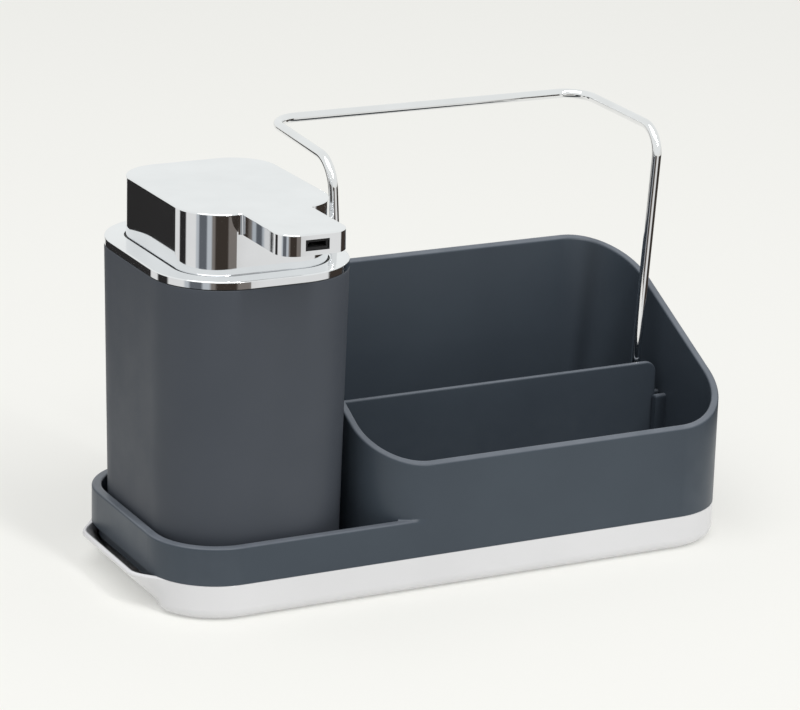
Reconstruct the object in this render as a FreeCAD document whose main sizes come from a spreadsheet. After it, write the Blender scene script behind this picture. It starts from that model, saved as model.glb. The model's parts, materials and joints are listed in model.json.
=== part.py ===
import FreeCAD, Part
import Sketcher
import math
import os

# A sink caddy: drip tray, grey body with a bin and a bottle well, divider, wire rail and soap dispenser.
# Millimetres, +Z up, +X to the right, -Y to the front. The origin is on the bench, under the body's middle.

Vector = FreeCAD.Vector
doc = FreeCAD.newDocument("sink_caddy")
sheet = doc.addObject("Spreadsheet::Sheet", "size")

SIZES = [
    ("body_depth", 107, "outside of the body along Y"),
    ("body_corner", 28, "plan radius of the body's corners"),
    ("tray_height", 14.5, "bench to the tray's rim, on which the body stands"),
    ("tray_wall", 2.4, ""),
    ("tray_floor", 2.4, ""),
    ("tray_round", 4.5, "round along the tray's lower edge"),
    ("lip_reach", 6.9, "how far the pouring lip stands out past the body"),
    ("lip_flat", 52, "straight outer edge of the lip"),
    ("lip_mouth", 74, "length of the lip where it leaves the tray"),
    ("lip_wall", 2, ""),
    ("lip_embed", 0.4, "how far the lip's outer face starts inside the tray's lower round"),
    ("lip_round", 6, "plan radius of the lip's corners"),
    ("floor_thickness", 2.5, "floor of the body"),
    ("skirt_depth", 5.5, "skirt of the body inside the tray"),
    ("skirt_wall", 2, ""),
    ("skirt_gap", 0.4, "between the skirt and the tray's wall"),
    ("low_rise", 15.1, "tray rim to the low wall's rim"),
    ("low_wall", 4, "thickness of the low wall round the well"),
    ("front_rise", 37.5, "tray rim to the bin's rim at the front"),
    ("back_rise", 91.5, "tray rim to the bin's rim at the back"),
    ("bin_length", 166.2, "outside of the bin along X, which sets the body's length with the bottle's"),
    ("bin_corner", 25, "plan radius of the bin's corners beside the bottle"),
    ("bin_wall", 3.2, ""),
    ("rim_round", 0.9, "round along the edges of the rims"),
    ("drain_width", 3.4, "drain slots in the floor"),
    ("drain_length", 24, ""),
    ("drain_pitch", 16, ""),
    ("drain_margin", 13, "least distance of the end slots from the walls"),
    ("divider_front", 5, "front face of the divider, behind the body's middle"),
    ("divider_thickness", 2.4, ""),
    ("divider_height", 44, ""),
    ("divider_corner", 5, "round of its top corners"),
    ("divider_round", 0.8, "round along its edges"),
    ("divider_end_gap", 3.4, "between the divider's ends and the bin's walls"),
    ("guide_depth", 5, "how far the guide ribs stand out of the wall"),
    ("guide_width", 3, ""),
    ("guide_height", 30, ""),
    ("guide_round", 1.4, "round along the tops of the ribs"),
    ("guide_gap", 0.3, "between the divider's faces and the ribs and sockets"),
    ("wire_diameter", 4, "rail wire"),
    ("rail_inset", 12.8, "legs' centres from the bin's end walls, at the sockets"),
    ("rail_spread", 7.5, "how far each leg spreads outwards on its way up"),
    ("rail_shift", 0.9, "rail's middle right of the bin's middle"),
    ("rail_rise", 141.9, "floor to the front ends of the rail's arms, at the wire's centre"),
    ("rail_tilt", 2.6, "crossbar above the arms' front ends"),
    ("rail_draw", 1.7, "how far each arm draws in towards the crossbar"),
    ("rail_reach", 62.6, "legs to the crossbar, backwards"),
    ("rail_bend", 12, "centre-line radius of the rail's bends"),
    ("rail_foot_bend", 30, "radius where the legs start to spread"),
    ("rail_tail", 16, "straight foot of each leg"),
    ("socket_height", 13, ""),
    ("socket_wall", 1.2, ""),
    ("socket_gap", 0.08, "round the wire in its socket"),
    ("bottle_length", 80, "bottle at its mouth along X"),
    ("bottle_corner", 28.5, ""),
    ("bottle_height", 112.8, ""),
    ("bottle_draw", 1.75, "how far each side draws in at the foot"),
    ("bottle_wall", 3, ""),
    ("bottle_floor", 2.6, ""),
    ("bottle_gap", 0.8, "between the bottle's mouth and the bin"),
    ("bottle_inset", 3, "bottle's mouth from the body's left end"),
    ("bottle_side", 0.75, "bottle's mouth from the inner faces of the low walls"),
    ("gasket_thickness", 0.8, "seal on the bottle's mouth"),
    ("flange_thickness", 1.4, "flange of the pump carrier"),
    ("flange_inset", 1.3, "flange edge inside the bottle's outline"),
    ("collar_land", 8.4, "width of the collar ring's top"),
    ("collar_top", 1.2, "thickness of the collar ring's top"),
    ("collar_wall", 1, "thickness of the collar ring's rim"),
    ("collar_round", 0.5, "round along the collar ring's top edges"),
    ("collar_gap", 0.4, "shadow gap between the collar ring and the bottle"),
    ("plug_depth", 6, "part of the carrier that plugs the mouth"),
    ("plug_gap", 0.15, ""),
    ("cup_wall", 1.6, ""),
    ("cup_floor", 2, ""),
    ("cup_gap", 0.4, "carrier's cup behind the collar ring's opening"),
    ("stroke", 12, "travel of the press head"),
    ("stroke_gap", 1.2, "between the pressed head and the carrier's cup"),
    ("head_corner", 17.5, "plan radius of the press head's corners"),
    ("head_rise", 23.8, "press head above the collar ring"),
    ("head_sink", 6, "press head below the collar ring's top"),
    ("head_gap", 0.6, "round the press head in the collar ring"),
    ("head_wall", 1.8, ""),
    ("head_top", 2, ""),
    ("head_round", 0.6, "round along the press head's top edge"),
    ("spout_width", 28.6, ""),
    ("spout_reach", 35.4, "spout past the head's front"),
    ("spout_height", 8.2, ""),
    ("spout_floor", 1.6, ""),
    ("spout_offset", 2.8, "spout's middle right of the head's middle"),
    ("spout_round", 7.5, "plan radius of the spout's tip corners"),
    ("root_round", 1.5, "plan radius where the spout leaves the head"),
    ("outlet_width", 9.7, ""),
    ("outlet_height", 4.2, ""),
    ("insert_gap", 0.1, "round the insert in the outlet"),
    ("insert_length", 6, ""),
    ("insert_recess", 0.8, "insert behind the spout's tip"),
    ("insert_wall", 1, ""),
    ("channel_width", 12, "soap channel in the head's core"),
    ("channel_wall", 0.9, ""),
    ("boss_diameter", 11, "stem socket of the head's core"),
    ("boss_length", 20.8, ""),
    ("boss_grip", 11.8, "depth of the stem in its socket"),
    ("barrel_diameter", 12, "pump barrel"),
    ("barrel_bore", 9.6, ""),
    ("barrel_depth", 45, "flange to the inlet seat"),
    ("barrel_flange", 20, ""),
    ("flange_plate", 1.5, "thickness of the barrel's flange"),
    ("washer_thickness", 1, "gasket under the barrel's flange"),
    ("nut_diameter", 22, ""),
    ("nut_height", 6, ""),
    ("hole_gap", 0.2, "round the barrel in the carrier and the nut"),
    ("seat_bore", 3.4, "bore under the inlet ball, also of the dip tube"),
    ("seat_thickness", 4, ""),
    ("tube_diameter", 5, "dip tube"),
    ("tube_grip", 10, "dip tube in its socket"),
    ("tube_gap", 2, "dip tube above the bottle's floor"),
    ("tube_socket_wall", 1.5, ""),
    ("fit_gap", 0.02, "sliding and pushed fits in the barrel"),
    ("guide_plug", 6.5, "stem guide inside the barrel"),
    ("guide_flange", 14, ""),
    ("guide_plate", 2, ""),
    ("stem_diameter", 6, ""),
    ("stem_gap", 0.075, "round the stem in its guide"),
    ("stem_bore", 2.2, ""),
    ("stem_cage_bore", 3.6, "bore over the outlet ball"),
    ("stem_cage_length", 8, ""),
    ("piston_foot", 9, "shoulder under the piston seal"),
    ("piston_foot_height", 2, ""),
    ("seal_height", 6.5, ""),
    ("rest_gap", 0.5, "piston seal below the stem guide at rest"),
    ("cage_height", 7, "cage over the inlet ball"),
    ("cage_bore", 5.2, ""),
    ("cage_lip", 1.5, ""),
    ("inlet_ball_diameter", 4.6, ""),
    ("outlet_ball_diameter", 3, ""),
    ("ball_gap", 0.03, "balls above their seats"),
    ("spring_wire", 0.9, ""),
    ("spring_outside", 8.4, ""),
    ("spring_turns", 8, ""),
    ("spring_gap", 0.1, "spring's ends from what they press on"),
]

for row, (alias, number, note) in enumerate(SIZES, 1):
    sheet.set("A%d" % row, alias)
    sheet.set("B%d" % row, str(number))
    sheet.setAlias("B%d" % row, alias)
    sheet.set("C%d" % row, note)
doc.recompute()


# Places that several pieces share, as expressions of the sheet's cells.
BODY_LENGTH = "(size.bottle_inset + size.bottle_length + size.bottle_gap + size.bin_length)"
LEFT = f"(-{BODY_LENGTH} / 2)"
RIGHT = f"({BODY_LENGTH} / 2)"
FRONT = "(-size.body_depth / 2)"
BACK = "(size.body_depth / 2)"
RIM = "size.tray_height"
LIP_LEAN = ("(atan((size.tray_height - size.tray_round) / (size.lip_reach + size.tray_round))"
            " + asin(size.tray_round / sqrt((size.lip_reach + size.tray_round)^2"
            " + (size.tray_height - size.tray_round)^2)))")
FLOOR = "(size.tray_height + size.floor_thickness)"
LOW_RIM = "(size.tray_height + size.low_rise)"
BACK_RIM = "(size.tray_height + size.back_rise)"
FRONT_RIM = "(size.tray_height + size.front_rise)"
BIN_LEFT = f"({RIGHT} - size.bin_length)"
BIN_MIDDLE = f"({RIGHT} - size.bin_length / 2)"
BIN_INSIDE = "(size.bin_length - 2 * size.bin_wall)"
WELL_INSIDE = f"({BIN_LEFT} - {LEFT} - size.low_wall)"
DIVIDER_BACK = "(size.divider_front + size.divider_thickness)"
RAIL_MIDDLE = f"({BIN_MIDDLE} + size.rail_shift)"
SOCKET_RADIUS = "(size.wire_diameter / 2 + size.socket_gap + size.socket_wall)"
LEG_PLACE = f"({DIVIDER_BACK} + size.guide_gap + {SOCKET_RADIUS})"
PUMP_X = f"({LEFT} + size.bottle_inset + size.bottle_length / 2)"
BOTTLE_DEPTH = "(size.body_depth - 2 * (size.low_wall + size.bottle_side))"
BOTTLE_OUTLINE = ("size.bottle_length", BOTTLE_DEPTH, "size.bottle_corner")
HEAD_LENGTH = "(size.bottle_length - 2 * size.collar_land - 2 * size.head_gap)"
HEAD_DEPTH = f"({BOTTLE_DEPTH} - 2 * size.collar_land - 2 * size.head_gap)"
MOUTH = f"({FLOOR} + size.bottle_height)"
FLANGE_BOTTOM = f"({MOUTH} + size.gasket_thickness)"
FLANGE_TOP = f"({FLANGE_BOTTOM} + size.flange_thickness)"
COLLAR_TOP = f"({FLANGE_TOP} + size.collar_top)"
HEAD_TOP = f"({COLLAR_TOP} + size.head_rise)"
HEAD_CEILING = f"({HEAD_TOP} - size.head_top)"
HEAD_FOOT = f"({COLLAR_TOP} - size.head_sink)"
DECK = f"({HEAD_FOOT} - size.stroke - size.stroke_gap)"
SPOUT_FLOOR = f"({HEAD_TOP} - size.spout_height + size.spout_floor)"
SPOUT_TIP = f"(-{HEAD_DEPTH} / 2 - size.spout_reach)"
OUTLET_MIDDLE = f"(({HEAD_CEILING} + {SPOUT_FLOOR}) / 2)"
INSERT_FRONT = f"({SPOUT_TIP} + size.insert_recess)"
INSERT_BACK = f"({INSERT_FRONT} + size.insert_length)"
CHANNEL_HEIGHT = f"({HEAD_CEILING} - {SPOUT_FLOOR} - 2 * size.insert_gap)"
BOSS_FOOT = f"({HEAD_CEILING} - size.boss_length)"
STEM_TOP = f"({BOSS_FOOT} + size.boss_grip)"
BARREL_FLANGE_BOTTOM = f"({DECK} + size.washer_thickness)"
BARREL_TOP = f"({BARREL_FLANGE_BOTTOM} + size.flange_plate)"
SEAT_TOP = f"({BARREL_TOP} - size.barrel_depth)"
TUBE_TOP = f"({SEAT_TOP} - size.seat_thickness)"
GUIDE_FOOT = f"({BARREL_TOP} - size.guide_plug)"
SEAL_TOP = f"({GUIDE_FOOT} - size.rest_gap)"
SEAL_FOOT = f"({SEAL_TOP} - size.seal_height)"
PISTON_FOOT = f"({SEAL_FOOT} - size.piston_foot_height)"
CAGE_TOP = f"({SEAT_TOP} + size.cage_height)"
STEM_SEAT = f"({STEM_TOP} - size.stem_cage_length)"


def number_of(expression):
    """The value of an expression of the sheet's cells."""
    return float(sheet.evalExpression(expression))


def new_body(label, on_pump_axis=False):
    """A body whose label names its file, on the bench's origin or on the pump's axis."""
    body = doc.addObject("PartDesign::Body", label)
    body.Label = label
    if on_pump_axis:
        body.setExpression("Placement.Base.x", PUMP_X)
    return body


def origin_feature(body, role):
    return [item for item in body.Origin.OriginFeatures if item.Role == role][0]


def new_sketch(body, role="XY_Plane", offset=None):
    """A sketch on one of the body's own origin planes, moved along the plane's normal."""
    sketch = body.newObject("Sketcher::SketchObject", body.Label + "_sketch")
    sketch.AttachmentSupport = [(origin_feature(body, role), "")]
    sketch.MapMode = "FlatFace"
    if offset:
        sketch.setExpression("AttachmentOffset.Base.z", offset)
    return sketch


def bind(sketch, constraint, expression):
    index = sketch.addConstraint(constraint)
    sketch.setExpression("Constraints[%d]" % index, expression)


def place_point(sketch, geometry, point, x, y):
    """Ties a point of the sketch to two expressions."""
    bind(sketch, Sketcher.Constraint("DistanceX", -1, 1, geometry, point, number_of(x)), x)
    bind(sketch, Sketcher.Constraint("DistanceY", -1, 1, geometry, point, number_of(y)), y)


def polygon(sketch, points):
    """A closed outline of straight lines through points given as pairs of expressions."""
    corners = [Vector(number_of(x), number_of(y), 0) for x, y in points]
    first = sketch.GeometryCount
    count = len(corners)
    for index in range(count):
        sketch.addGeometry(Part.LineSegment(corners[index], corners[(index + 1) % count]), False)
    for index in range(count):
        following = first + (index + 1) % count
        sketch.addConstraint(Sketcher.Constraint("Coincident", first + index, 2, following, 1))
    for index, (x, y) in enumerate(points):
        place_point(sketch, first + index, 1, x, y)


def rectangle(sketch, left, right, front, back):
    polygon(sketch, [(left, front), (right, front), (right, back), (left, back)])


def rounded_rectangle(sketch, left, right, front, back, radius, left_radius=None):
    """A rectangle with tangent corner arcs. The two left corners can have a radius of their own."""
    x0, x1, y0, y1 = (number_of(item) for item in (left, right, front, back))
    radii = [radius, radius, left_radius or radius, left_radius or radius]
    sizes = [number_of(item) for item in radii]
    centres = [
        Vector(x1 - sizes[0], y0 + sizes[0], 0),
        Vector(x1 - sizes[1], y1 - sizes[1], 0),
        Vector(x0 + sizes[2], y1 - sizes[2], 0),
        Vector(x0 + sizes[3], y0 + sizes[3], 0),
    ]
    arcs = []
    for index, (centre, size) in enumerate(zip(centres, sizes)):
        start = math.pi / 2 * (index - 1)
        circle = Part.Circle(centre, Vector(0, 0, 1), size)
        arcs.append(Part.ArcOfCircle(circle, start, start + math.pi / 2))
    first = sketch.GeometryCount
    for index in range(4):
        sketch.addGeometry(Part.LineSegment(arcs[index - 1].EndPoint, arcs[index].StartPoint), False)
        sketch.addGeometry(arcs[index], False)
    for index in range(8):
        following = first + (index + 1) % 8
        sketch.addConstraint(Sketcher.Constraint("Tangent", first + index, 2, following, 1))
    sides = [("Horizontal", "DistanceY", front), ("Vertical", "DistanceX", right),
             ("Horizontal", "DistanceY", back), ("Vertical", "DistanceX", left)]
    for index, (direction, distance, place) in enumerate(sides):
        line = first + 2 * index
        sketch.addConstraint(Sketcher.Constraint(direction, line))
        bind(sketch, Sketcher.Constraint(distance, -1, 1, line, 1, number_of(place)), place)
        bind(sketch, Sketcher.Constraint("Radius", line + 1, sizes[index]), radii[index])


def centred_outline(sketch, length, depth, radius, inset):
    """A rounded rectangle about the sketch's origin, inset all round from a length and a depth."""
    half_length = f"({length} / 2 - ({inset}))"
    half_depth = f"({depth} / 2 - ({inset}))"
    rounded_rectangle(sketch, f"-{half_length}", half_length, f"-{half_depth}", half_depth,
                      f"({radius} - ({inset}))")


def circle(sketch, x, y, diameter):
    centre = Vector(number_of(x), number_of(y), 0)
    geometry = sketch.addGeometry(Part.Circle(centre, Vector(0, 0, 1), number_of(diameter) / 2), False)
    place_point(sketch, geometry, 3, x, y)
    bind(sketch, Sketcher.Constraint("Diameter", geometry, number_of(diameter)), diameter)


def add_feature(body, kind, sketch, settings, growth):
    """A feature of the body on a sketch. The body's volume has to grow (1) or shrink (-1) with it."""
    before = body.Shape.Volume if body.Tip else 0
    feature = body.newObject("PartDesign::" + kind, body.Label + "_" + kind.lower())
    feature.Profile = sketch
    for name, setting in settings.items():
        if isinstance(setting, str):
            feature.setExpression(name, setting)
        else:
            setattr(feature, name, setting)
    doc.recompute()
    if (body.Shape.Volume - before) * growth <= 0:
        raise RuntimeError("no effect: " + feature.Name)
    return feature


def pad(body, sketch, length):
    return add_feature(body, "Pad", sketch, {"Length": length}, 1)


def pocket(body, sketch, depth):
    """Cuts against the sketch's normal."""
    return add_feature(body, "Pocket", sketch, {"Length": depth}, -1)


def loft(body, sketches, growth=1):
    kind = "AdditiveLoft" if growth > 0 else "SubtractiveLoft"
    return add_feature(body, kind, sketches[0], {"Sections": sketches[1:], "Ruled": True}, growth)


def turned_piece(label, points):
    """A piece turned about the pump's axis from an outline of radius and height."""
    body = new_body(label, on_pump_axis=True)
    sketch = new_sketch(body, "XZ_Plane")
    polygon(sketch, points)
    add_feature(body, "Revolution", sketch, {"ReferenceAxis": (sketch, ["V_Axis"]), "Angle": 360.0}, 1)
    return body


def upright_edges(shape, places):
    """Names of the straight edges along Z that stand at the given places in plan."""
    names = []
    for index, edge in enumerate(shape.Edges, 1):
        low, high = edge.Vertexes[0].Point, edge.Vertexes[-1].Point
        if abs(low.x - high.x) + abs(low.y - high.y) > 0.001 or abs(low.z - high.z) < 0.001:
            continue
        if any(math.hypot(low.x - x, low.y - y) < 0.01 for x, y in places):
            names.append("Edge%d" % index)
    return names


def level_edges(shape, height):
    """Names of the edges that lie at one height."""
    return ["Edge%d" % index for index, edge in enumerate(shape.Edges, 1)
            if abs(edge.BoundBox.ZMin - height) < 0.001 and abs(edge.BoundBox.ZMax - height) < 0.001]


def round_edges(body, names, radius):
    base = body.Tip
    feature = body.newObject("PartDesign::Fillet", body.Label + "_fillet")
    feature.Base = (base, names)
    feature.setExpression("Radius", radius)
    doc.recompute()
    return feature


def make_drip_tray():
    body = new_body("drip_tray")
    outside = new_sketch(body)
    centred_outline(outside, BODY_LENGTH, "size.body_depth", "size.body_corner", "0")
    pad(body, outside, RIM)
    round_edges(body, level_edges(body.Tip.Shape, 0), "size.tray_round")
    loft(body, lip_sections(body, "0", f"size.tray_round * (1 - cos({LIP_LEAN}))"))
    round_lip_corners(body, "0", "size.lip_round")
    inside = new_sketch(body, offset=RIM)
    centred_outline(inside, BODY_LENGTH, "size.body_depth", "size.body_corner", "size.tray_wall")
    pocket(body, inside, f"{RIM} - size.tray_floor")
    loft(body, lip_sections(body, "size.lip_wall", "size.tray_floor"), growth=-1)
    round_lip_corners(body, "size.lip_wall", "size.lip_round - size.lip_wall")
    return body


def lip_edge(inset):
    """The lip's straight outer edge at the rim: its place along X and half its length."""
    return f"({LEFT} - size.lip_reach + {inset})", f"(size.lip_flat / 2 - {inset} / 2)"


def lip_sections(body, inset, foot):
    """Level sections of the pouring lip, which leaves the tray's lower round along its tangent."""
    root = f"({LEFT} + size.body_corner / 2)"
    mouth = f"(size.lip_mouth / 2 - {inset})"
    rim_edge, flat = lip_edge(inset)
    rim_cheek = f"({LEFT} + size.tray_wall + size.skirt_gap + {inset})"
    foot_edge = f"({LEFT} + size.tray_round * (1 - sin({LIP_LEAN})) + size.lip_embed + {inset})"
    foot_cheek = f"({LEFT} + size.tray_round + {inset})"
    sections = []
    for height, edge, cheek in ((foot, foot_edge, foot_cheek), (RIM, rim_edge, rim_cheek)):
        sketch = new_sketch(body, offset=height)
        polygon(sketch, [(root, f"-{mouth}"), (root, mouth), (cheek, mouth), (edge, flat),
                         (edge, f"-{flat}"), (cheek, f"-{mouth}")])
        sections.append(sketch)
    return sections


def round_lip_corners(body, inset, radius):
    """Rounds the two sloping edges at the ends of the lip's straight edge."""
    x, y = (number_of(item) for item in lip_edge(inset))
    top = number_of(RIM)
    names = []
    for index, edge in enumerate(body.Tip.Shape.Edges, 1):
        high = max((vertex.Point for vertex in edge.Vertexes), key=lambda point: point.z)
        at_corner = math.hypot(high.x - x, abs(high.y) - y) < 0.01 and abs(high.z - top) < 0.01
        if at_corner and edge.BoundBox.ZLength > 1:
            names.append("Edge%d" % index)
    round_edges(body, names, radius)


def make_caddy_body():
    body = new_body("caddy_body")
    outline = (BODY_LENGTH, "size.body_depth", "size.body_corner")
    base = new_sketch(body, offset=RIM)
    centred_outline(base, *outline, "0")
    pad(body, base, "size.low_rise")
    well = new_sketch(body, offset=LOW_RIM)
    centred_outline(well, *outline, "size.low_wall")
    pocket(body, well, f"{LOW_RIM} - {FLOOR}")
    bin_outside = new_sketch(body, offset=RIM)
    rounded_rectangle(bin_outside, BIN_LEFT, RIGHT, FRONT, BACK, "size.body_corner", "size.bin_corner")
    pad(body, bin_outside, "size.back_rise")
    slope_rim(body)
    bin_inside = new_sketch(body, offset=BACK_RIM)
    rounded_rectangle(bin_inside, f"{BIN_LEFT} + size.bin_wall", f"{RIGHT} - size.bin_wall",
                      f"{FRONT} + size.bin_wall", f"{BACK} - size.bin_wall",
                      "size.body_corner - size.bin_wall", "size.bin_corner - size.bin_wall")
    pocket(body, bin_inside, f"{BACK_RIM} - {FLOOR}")
    round_rims(body)
    add_guides(body)
    add_sockets(body)
    add_drains(body)
    return body


def make_body_skirt():
    """The ring under the body's floor that seats the body in the tray."""
    body = new_body("body_skirt")
    outline = (BODY_LENGTH, "size.body_depth", "size.body_corner")
    ring = new_sketch(body, offset=f"{RIM} - size.skirt_depth")
    centred_outline(ring, *outline, "size.tray_wall + size.skirt_gap")
    centred_outline(ring, *outline, "size.tray_wall + size.skirt_gap + size.skirt_wall")
    pad(body, ring, "size.skirt_depth")
    return body


def slope_rim(body):
    """Cuts the bin's rim to one plane that climbs from the front to the back."""
    sketch = new_sketch(body, "YZ_Plane", RIGHT)
    polygon(sketch, [(FRONT, FRONT_RIM), (BACK, BACK_RIM), (BACK, f"{BACK_RIM} + size.bin_wall"),
                     (f"{FRONT} - size.bin_wall", f"{BACK_RIM} + size.bin_wall"),
                     (f"{FRONT} - size.bin_wall", FRONT_RIM)])
    pocket(body, sketch, "size.bin_length")


def round_rims(body):
    """Rounds the edges of the low wall's rim and of the bin's sloping rim."""
    low, front, back = number_of(LOW_RIM), number_of(FRONT_RIM), number_of(BACK_RIM)
    middle, depth = (front + back) / 2, number_of("size.body_depth")
    names = level_edges(body.Tip.Shape, low)
    for index, edge in enumerate(body.Tip.Shape.Edges, 1):
        points = [edge.valueAt(edge.FirstParameter + (edge.LastParameter - edge.FirstParameter) * share)
                  for share in (0, 0.5, 1)]
        if all(abs(point.z - middle - point.y * (back - front) / depth) < 0.001 for point in points):
            names.append("Edge%d" % index)
    round_edges(body, names, "size.rim_round")


def add_guides(body):
    """Two ribs on each end wall of the bin, one on each face of the divider, with round tops."""
    wall_left = f"({BIN_LEFT} + size.bin_wall)"
    wall_right = f"({RIGHT} - size.bin_wall)"
    ribs = ["(size.divider_front - size.guide_gap - size.guide_width)", f"({DIVIDER_BACK} + size.guide_gap)"]
    embed = "size.bin_wall / 2"
    sketch = new_sketch(body, offset=FLOOR)
    for front in ribs:
        back = f"({front} + size.guide_width)"
        rectangle(sketch, f"{wall_left} - {embed}", f"{wall_left} + size.guide_depth", front, back)
        rectangle(sketch, f"{wall_right} - size.guide_depth", f"{wall_right} + {embed}", front, back)
    pad(body, sketch, "size.guide_height")
    round_guide_tops(body, [number_of(wall_left), number_of(wall_right)])


def round_guide_tops(body, walls):
    """Rounds the free edges round the top of each rib, all but the one along its wall."""
    top = number_of(f"{FLOOR} + size.guide_height")
    names = []
    for index, edge in enumerate(body.Tip.Shape.Edges, 1):
        box = edge.BoundBox
        on_wall = any(abs(box.Center.x - wall) < 0.01 for wall in walls)
        if abs(box.ZMin - top) < 0.01 and abs(box.ZMax - top) < 0.01 and not on_wall:
            names.append("Edge%d" % index)
    round_edges(body, names, "size.guide_round")


def socket_places():
    half = f"({BIN_INSIDE} / 2 - size.rail_inset)"
    return [(f"{RAIL_MIDDLE} - {half}", LEG_PLACE), (f"{RAIL_MIDDLE} + {half}", LEG_PLACE)]


def add_sockets(body):
    """Two round posts on the floor that hold the rail's feet."""
    posts = new_sketch(body, offset=FLOOR)
    bores = new_sketch(body, offset=f"{FLOOR} + size.socket_height")
    for x, y in socket_places():
        circle(posts, x, y, f"2 * {SOCKET_RADIUS}")
        circle(bores, x, y, "size.wire_diameter + 2 * size.socket_gap")
    pad(body, posts, "size.socket_height")
    pocket(body, bores, "size.socket_height")


def add_drains(body):
    """Rows of drain slots through the floor: two in the bin and one under the bottle."""
    bin_front = f"({FRONT} + size.bin_wall + size.divider_front) / 2"
    bin_back = f"({BACK} - size.bin_wall + {LEG_PLACE}) / 2"
    rows = [(BIN_MIDDLE, bin_front, BIN_INSIDE), (BIN_MIDDLE, bin_back, BIN_INSIDE),
            (PUMP_X, "0", WELL_INSIDE)]
    for x, y, space in rows:
        steps = f"floor(({space} - 2 * size.drain_margin - size.drain_width) / size.drain_pitch)"
        run = f"({steps} * size.drain_pitch)"
        sketch = new_sketch(body, offset=FLOOR)
        first = f"({x} - {run} / 2)"
        rectangle(sketch, f"{first} - size.drain_width / 2", f"{first} + size.drain_width / 2",
                  f"{y} - size.drain_length / 2", f"{y} + size.drain_length / 2")
        slot = pocket(body, sketch, "size.floor_thickness")
        pattern = body.newObject("PartDesign::LinearPattern", "caddy_body_pattern")
        pattern.Originals = [slot]
        pattern.Direction = (sketch, ["H_Axis"])
        pattern.setExpression("Length", run)
        pattern.Occurrences = round(number_of(steps)) + 1
        body.Tip = pattern
        doc.recompute()


def make_divider_plate():
    body = new_body("divider_plate")
    sketch = new_sketch(body, "XZ_Plane", f"-{DIVIDER_BACK}")
    left = f"({BIN_LEFT} + size.bin_wall + size.divider_end_gap)"
    right = f"({RIGHT} - size.bin_wall - size.divider_end_gap)"
    top = f"({FLOOR} + size.divider_height)"
    rectangle(sketch, left, right, FLOOR, top)
    pad(body, sketch, "size.divider_thickness")
    corners = []
    for index, edge in enumerate(body.Tip.Shape.Edges, 1):
        box = edge.BoundBox
        if box.ZMin > number_of(top) - 0.001 and box.YLength > 0.001:
            corners.append("Edge%d" % index)
    round_edges(body, corners, "size.divider_corner")
    outline = [index for index, edge in enumerate(body.Tip.Shape.Edges, 1)
               if edge.BoundBox.YLength < 0.001 and edge.BoundBox.ZMax > number_of(FLOOR) + 0.001]
    round_edges(body, ["Edge%d" % index for index in outline], "size.divider_round")
    return body


def bent_path(corners, radii):
    """Straight runs through the corners, joined by tangent arcs."""
    edges = []
    start = corners[0]
    for before, corner, after, radius in zip(corners, corners[1:], corners[2:], radii):
        arriving = (corner - before).normalize()
        leaving = (after - corner).normalize()
        turn = arriving.getAngle(leaving)
        tangent = radius * math.tan(turn / 2)
        inward = (leaving - arriving).normalize()
        middle = corner + inward * (radius / math.cos(turn / 2) - radius)
        arc_start = corner - arriving * tangent
        arc_end = corner + leaving * tangent
        edges.append(Part.LineSegment(start, arc_start).toShape())
        edges.append(Part.Arc(arc_start, middle, arc_end).toShape())
        start = arc_end
    edges.append(Part.LineSegment(start, corners[-1]).toShape())
    return Part.Wire(edges)


def swept_round(path, start, direction, diameter):
    """A round bar along a path."""
    section = Part.Wire([Part.Circle(start, direction, diameter / 2).toShape()])
    return path.makePipeShell([section], True, False)


def make_cloth_rail():
    """One bent wire: two feet, legs that spread upwards, arms that reach back, and a crossbar."""
    middle, leg = number_of(RAIL_MIDDLE), number_of(LEG_PLACE)
    foot = number_of(f"{BIN_INSIDE} / 2 - size.rail_inset")
    top = foot + number_of("size.rail_spread")
    back = top - number_of("size.rail_draw")
    bottom = number_of(FLOOR)
    knee = bottom + number_of("size.rail_tail")
    height = bottom + number_of("size.rail_rise")
    bar = leg + number_of("size.rail_reach")
    bar_height = height + number_of("size.rail_tilt")
    bend, foot_bend = number_of("size.rail_bend"), number_of("size.rail_foot_bend")
    half = [(foot, leg, bottom), (foot, leg, knee), (top, leg, height), (back, bar, bar_height)]
    right_half = [Vector(middle + x, y, z) for x, y, z in half]
    left_half = [Vector(middle - x, y, z) for x, y, z in half]
    path = bent_path(left_half + right_half[::-1], [foot_bend, bend, bend, bend, bend, foot_bend])
    wire = doc.addObject("Part::Feature", "cloth_rail")
    wire.Label = "cloth_rail"
    wire.Shape = swept_round(path, left_half[0], Vector(0, 0, 1), number_of("size.wire_diameter"))
    return wire


def make_bottle():
    body = new_body("bottle", on_pump_axis=True)
    foot = new_sketch(body, offset=FLOOR)
    centred_outline(foot, *BOTTLE_OUTLINE, "size.bottle_draw")
    mouth = new_sketch(body, offset=MOUTH)
    centred_outline(mouth, *BOTTLE_OUTLINE, "0")
    loft(body, [foot, mouth])
    inside_foot = new_sketch(body, offset=f"{FLOOR} + size.bottle_floor")
    centred_outline(inside_foot, *BOTTLE_OUTLINE, "size.bottle_draw + size.bottle_wall")
    inside_mouth = new_sketch(body, offset=MOUTH)
    centred_outline(inside_mouth, *BOTTLE_OUTLINE, "size.bottle_wall")
    loft(body, [inside_foot, inside_mouth], growth=-1)
    return body


def make_mouth_gasket():
    body = new_body("mouth_gasket", on_pump_axis=True)
    sketch = new_sketch(body, offset=MOUTH)
    centred_outline(sketch, *BOTTLE_OUTLINE, "size.flange_inset")
    centred_outline(sketch, *BOTTLE_OUTLINE, "size.bottle_wall + size.plug_gap")
    pad(body, sketch, "size.gasket_thickness")
    return body


def head_opening(sketch, growth):
    """The press head's outline, grown all round."""
    centred_outline(sketch, HEAD_LENGTH, HEAD_DEPTH, "size.head_corner", f"-({growth})")


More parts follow.
